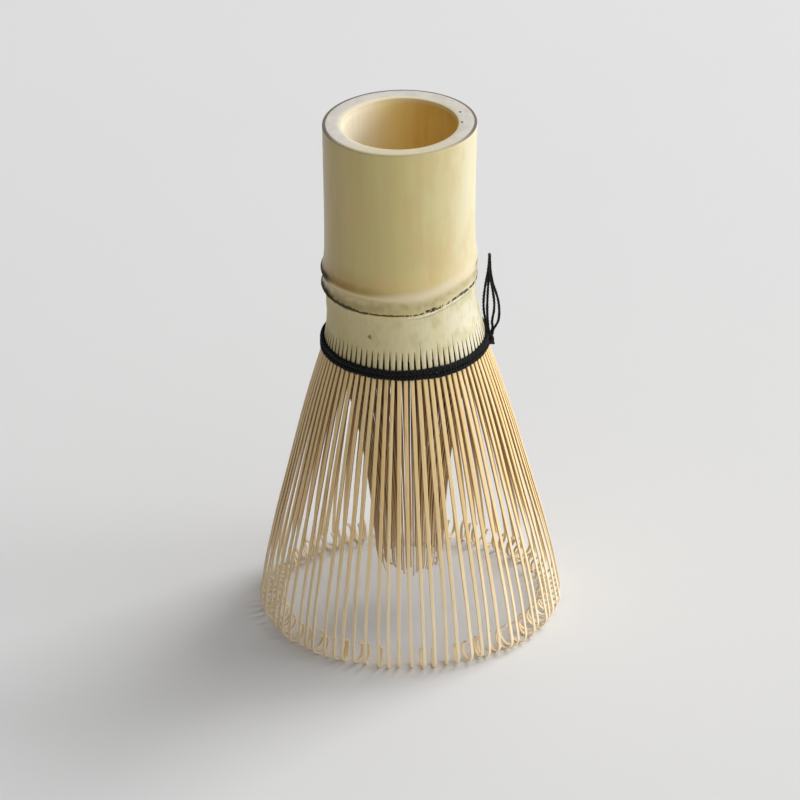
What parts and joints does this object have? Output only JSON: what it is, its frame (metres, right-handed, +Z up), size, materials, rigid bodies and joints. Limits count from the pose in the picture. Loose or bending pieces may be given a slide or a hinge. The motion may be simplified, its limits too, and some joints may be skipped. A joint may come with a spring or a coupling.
{
  "type": "bamboo tea whisk",
  "caption": "Bamboo tea whisk: hollow culm handle with a node, outer tines that spread and curl, an inner bundle of fine tines, and a black thread round the roots with a small loop.",
  "frame": {"origin": "on the ground under the centre of the handle, at the level of the curled tips that the whisk stands on", "axes": "+Z up along the handle, tines down; +X towards the thread's knot and loops; the front of the whisk is -Y"},
  "size_m": [0.06, 0.06, 0.105],
  "materials": {
    "bamboo": "smooth natural bamboo skin, satin",
    "split_bamboo": "split and pared bamboo, matt",
    "thread": "twisted black cotton thread"
  },
  "bodies": {
    "culm": {"culm_handle": "bamboo", "thread_wrap_upper": "thread", "thread_wrap_lower": "thread", "thread_wrap_inner": "thread", "thread_knot": "thread", "thread_loop_1": "thread", "thread_loop_2": "thread"},
    "outer_comb_01": {"outer_tines_01": "split_bamboo"},
    "outer_comb_02": {"outer_tines_02": "split_bamboo"},
    "outer_comb_03": {"outer_tines_03": "split_bamboo"},
    "outer_comb_04": {"outer_tines_04": "split_bamboo"},
    "outer_comb_05": {"outer_tines_05": "split_bamboo"},
    "outer_comb_06": {"outer_tines_06": "split_bamboo"},
    "outer_comb_07": {"outer_tines_07": "split_bamboo"},
    "outer_comb_08": {"outer_tines_08": "split_bamboo"},
    "outer_comb_09": {"outer_tines_09": "split_bamboo"},
    "outer_comb_10": {"outer_tines_10": "split_bamboo"},
    "outer_comb_11": {"outer_tines_11": "split_bamboo"},
    "outer_comb_12": {"outer_tines_12": "split_bamboo"},
    "outer_comb_13": {"outer_tines_13": "split_bamboo"},
    "outer_comb_14": {"outer_tines_14": "split_bamboo"},
    "outer_comb_15": {"outer_tines_15": "split_bamboo"},
    "outer_comb_16": {"outer_tines_16": "split_bamboo"},
    "inner_comb_1": {"inner_tines_01": "split_bamboo", "inner_tines_02": "split_bamboo"},
    "inner_comb_2": {"inner_tines_03": "split_bamboo", "inner_tines_04": "split_bamboo"},
    "inner_comb_3": {"inner_tines_05": "split_bamboo", "inner_tines_06": "split_bamboo"},
    "inner_comb_4": {"inner_tines_07": "split_bamboo", "inner_tines_08": "split_bamboo"},
    "inner_comb_5": {"inner_tines_09": "split_bamboo", "inner_tines_10": "split_bamboo"},
    "inner_comb_6": {"inner_tines_11": "split_bamboo", "inner_tines_12": "split_bamboo"},
    "inner_comb_7": {"inner_tines_13": "split_bamboo", "inner_tines_14": "split_bamboo"},
    "inner_comb_8": {"inner_tines_15": "split_bamboo", "inner_tines_16": "split_bamboo"}
  },
  "joints": [
    {"name": "outer_flex_01", "type": "hinge", "parent": "culm", "child": "outer_comb_01", "pos_m": [0.015, 0, 0.0585], "axis": [0, -1, 0], "range_deg": [-3, 5], "stiffness_Nm_per_rad": 0.015},
    {"name": "outer_flex_02", "type": "hinge", "parent": "culm", "child": "outer_comb_02", "pos_m": [0.01386, 0.00574, 0.0585], "axis": [0.3827, -0.9239, 0], "range_deg": [-3, 5], "stiffness_Nm_per_rad": 0.015},
    {"name": "outer_flex_03", "type": "hinge", "parent": "culm", "child": "outer_comb_03", "pos_m": [0.01061, 0.01061, 0.0585], "axis": [0.7071, -0.7071, 0], "range_deg": [-3, 5], "stiffness_Nm_per_rad": 0.015},
    {"name": "outer_flex_04", "type": "hinge", "parent": "culm", "child": "outer_comb_04", "pos_m": [0.00574, 0.01386, 0.0585], "axis": [0.9239, -0.3827, 0], "range_deg": [-3, 5], "stiffness_Nm_per_rad": 0.015},
    {"name": "outer_flex_05", "type": "hinge", "parent": "culm", "child": "outer_comb_05", "pos_m": [0, 0.015, 0.0585], "axis": [1, 0, 0], "range_deg": [-3, 5], "stiffness_Nm_per_rad": 0.015},
    {"name": "outer_flex_06", "type": "hinge", "parent": "culm", "child": "outer_comb_06", "pos_m": [-0.00574, 0.01386, 0.0585], "axis": [0.9239, 0.3827, 0], "range_deg": [-3, 5], "stiffness_Nm_per_rad": 0.015},
    {"name": "outer_flex_07", "type": "hinge", "parent": "culm", "child": "outer_comb_07", "pos_m": [-0.01061, 0.01061, 0.0585], "axis": [0.7071, 0.7071, 0], "range_deg": [-3, 5], "stiffness_Nm_per_rad": 0.015},
    {"name": "outer_flex_08", "type": "hinge", "parent": "culm", "child": "outer_comb_08", "pos_m": [-0.01386, 0.00574, 0.0585], "axis": [0.3827, 0.9239, 0], "range_deg": [-3, 5], "stiffness_Nm_per_rad": 0.015},
    {"name": "outer_flex_09", "type": "hinge", "parent": "culm", "child": "outer_comb_09", "pos_m": [-0.015, 0, 0.0585], "axis": [0, 1, 0], "range_deg": [-3, 5], "stiffness_Nm_per_rad": 0.015},
    {"name": "outer_flex_10", "type": "hinge", "parent": "culm", "child": "outer_comb_10", "pos_m": [-0.01386, -0.00574, 0.0585], "axis": [-0.3827, 0.9239, 0], "range_deg": [-3, 5], "stiffness_Nm_per_rad": 0.015},
    {"name": "outer_flex_11", "type": "hinge", "parent": "culm", "child": "outer_comb_11", "pos_m": [-0.01061, -0.01061, 0.0585], "axis": [-0.7071, 0.7071, 0], "range_deg": [-3, 5], "stiffness_Nm_per_rad": 0.015},
    {"name": "outer_flex_12", "type": "hinge", "parent": "culm", "child": "outer_comb_12", "pos_m": [-0.00574, -0.01386, 0.0585], "axis": [-0.9239, 0.3827, 0], "range_deg": [-3, 5], "stiffness_Nm_per_rad": 0.015},
    {"name": "outer_flex_13", "type": "hinge", "parent": "culm", "child": "outer_comb_13", "pos_m": [0, -0.015, 0.0585], "axis": [-1, 0, 0], "range_deg": [-3, 5], "stiffness_Nm_per_rad": 0.015},
    {"name": "outer_flex_14", "type": "hinge", "parent": "culm", "child": "outer_comb_14", "pos_m": [0.00574, -0.01386, 0.0585], "axis": [-0.9239, -0.3827, 0], "range_deg": [-3, 5], "stiffness_Nm_per_rad": 0.015},
    {"name": "outer_flex_15", "type": "hinge", "parent": "culm", "child": "outer_comb_15", "pos_m": [0.01061, -0.01061, 0.0585], "axis": [-0.7071, -0.7071, 0], "range_deg": [-3, 5], "stiffness_Nm_per_rad": 0.015},
    {"name": "outer_flex_16", "type": "hinge", "parent": "culm", "child": "outer_comb_16", "pos_m": [0.01386, -0.00574, 0.0585], "axis": [-0.3827, -0.9239, 0], "range_deg": [-3, 5], "stiffness_Nm_per_rad": 0.015},
    {"name": "inner_flex_1", "type": "hinge", "parent": "culm", "child": "inner_comb_1", "pos_m": [0.01221, 0.00243, 0.0585], "axis": [0.1951, -0.9808, 0], "range_deg": [0, 4], "stiffness_Nm_per_rad": 0.008},
    {"name": "inner_flex_2", "type": "hinge", "parent": "culm", "child": "inner_comb_2", "pos_m": [0.00692, 0.01035, 0.0585], "axis": [0.8315, -0.5556, 0], "range_deg": [0, 4], "stiffness_Nm_per_rad": 0.008},
    {"name": "inner_flex_3", "type": "hinge", "parent": "culm", "child": "inner_comb_3", "pos_m": [-0.00243, 0.01221, 0.0585], "axis": [0.9808, 0.1951, 0], "range_deg": [0, 4], "stiffness_Nm_per_rad": 0.008},
    {"name": "inner_flex_4", "type": "hinge", "parent": "culm", "child": "inner_comb_4", "pos_m": [-0.01035, 0.00692, 0.0585], "axis": [0.5556, 0.8315, 0], "range_deg": [0, 4], "stiffness_Nm_per_rad": 0.008},
    {"name": "inner_flex_5", "type": "hinge", "parent": "culm", "child": "inner_comb_5", "pos_m": [-0.01221, -0.00243, 0.0585], "axis": [-0.1951, 0.9808, 0], "range_deg": [0, 4], "stiffness_Nm_per_rad": 0.008},
    {"name": "inner_flex_6", "type": "hinge", "parent": "culm", "child": "inner_comb_6", "pos_m": [-0.00692, -0.01035, 0.0585], "axis": [-0.8315, 0.5556, 0], "range_deg": [0, 4], "stiffness_Nm_per_rad": 0.008},
    {"name": "inner_flex_7", "type": "hinge", "parent": "culm", "child": "inner_comb_7", "pos_m": [0.00243, -0.01221, 0.0585], "axis": [-0.9808, -0.1951, 0], "range_deg": [0, 4], "stiffness_Nm_per_rad": 0.008},
    {"name": "inner_flex_8", "type": "hinge", "parent": "culm", "child": "inner_comb_8", "pos_m": [0.01035, -0.00692, 0.0585], "axis": [-0.5556, -0.8315, 0], "range_deg": [0, 4], "stiffness_Nm_per_rad": 0.008}
  ]
}
